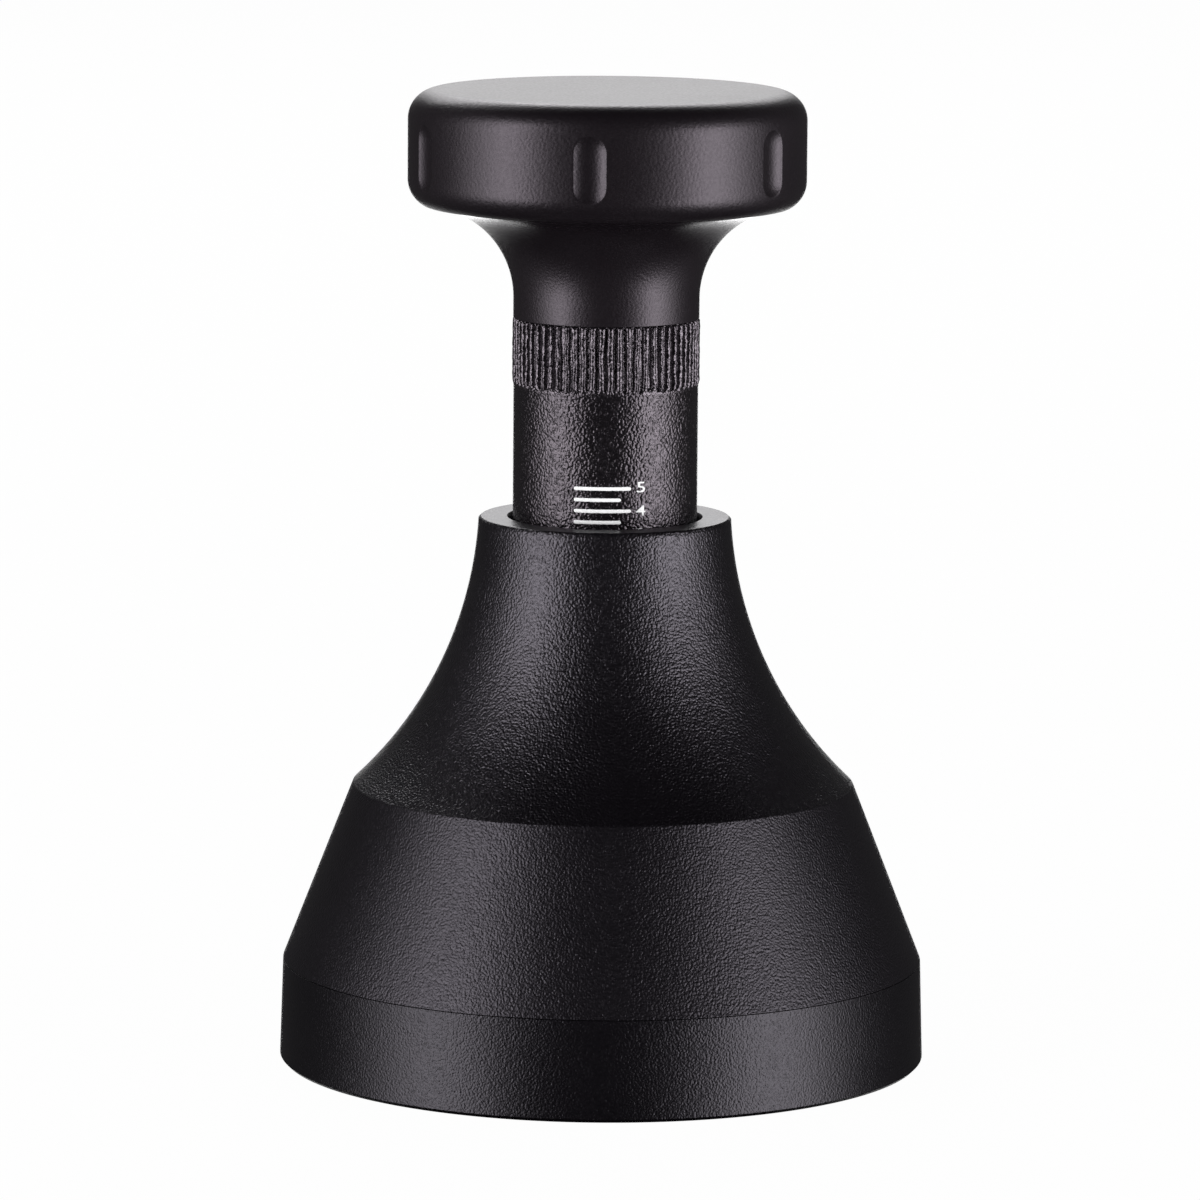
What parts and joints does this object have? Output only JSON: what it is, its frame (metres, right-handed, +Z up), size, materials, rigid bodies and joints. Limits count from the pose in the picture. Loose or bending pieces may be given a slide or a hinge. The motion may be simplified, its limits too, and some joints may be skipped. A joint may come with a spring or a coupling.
{
  "type": "espresso tamper",
  "caption": "Calibrated espresso tamper: flat round tamping base under a flared bell, a numbered screw sleeve that sets the spring, and a fluted palm knob.",
  "frame": {"origin": "centre of the tamping face, on the plane that the tamper stands on", "axes": "+Z up along the axis of the tamper towards the palm knob, -Y towards the scale on the sleeve, +X to the right of the scale"},
  "size_m": [0.058, 0.058, 0.0873],
  "materials": {
    "base_black": "fine bead-blasted black coating on stainless steel",
    "bell_black": "coarse textured black coating on aluminium",
    "sleeve_black": "coarse textured black coating",
    "satin_black": "smooth satin black anodised",
    "white_print": "white print",
    "brass": "turned brass",
    "bronze": "sintered bronze",
    "steel": "ground and turned stainless steel",
    "spring_steel": "drawn spring wire",
    "acetal": "off-white acetal",
    "rubber": "black nitrile rubber"
  },
  "bodies": {
    "housing": {"tamping_base": "base_black", "base_seal": "rubber", "bell": "bell_black", "mouth_bush": "acetal", "mouth_seal": "rubber", "thread_nut": "brass", "nut_screws": "steel", "guide_post": "steel", "spring_seat": "steel", "main_spring": "spring_steel"},
    "carrier": {"slip_washer": "acetal"},
    "setting_sleeve": {"sleeve": "sleeve_black", "scale_ticks": "white_print", "scale_numbers": "white_print", "stop_ring": "spring_steel", "neck": "satin_black", "neck_bush": "bronze", "neck_seal": "rubber", "gland_ring": "steel", "bumper_ring": "rubber"},
    "pressed_cap": {"spring_cap": "acetal"},
    "palm_knob": {"plunger": "steel", "knob": "satin_black"}
  },
  "joints": [
    {"name": "setting_travel", "type": "slide", "parent": "housing", "child": "carrier", "axis": [0, 0, 1], "range_m": [-0.0036, 0.0064], "deforming": ["main_spring"]},
    {"name": "setting_turn", "type": "hinge", "parent": "carrier", "child": "setting_sleeve", "pos_m": [0, 0, 0.05], "axis": [0, 0, 1], "range_deg": [-648, 1152]},
    {"name": "knob_press", "type": "slide", "parent": "carrier", "child": "pressed_cap", "axis": [0, 0, 1], "range_m": [-0.0012, 0], "stiffness_N_per_m": 8070, "springref_m": 0.0118, "deforming": ["main_spring"]},
    {"name": "knob_spin", "type": "hinge", "parent": "pressed_cap", "child": "palm_knob", "pos_m": [0, 0, 0.08], "axis": [0, 0, 1], "continuous": true}
  ],
  "couplings": [
    {"joint": "setting_turn", "follows": "setting_travel", "rad_per_m": 3141.6}
  ]
}
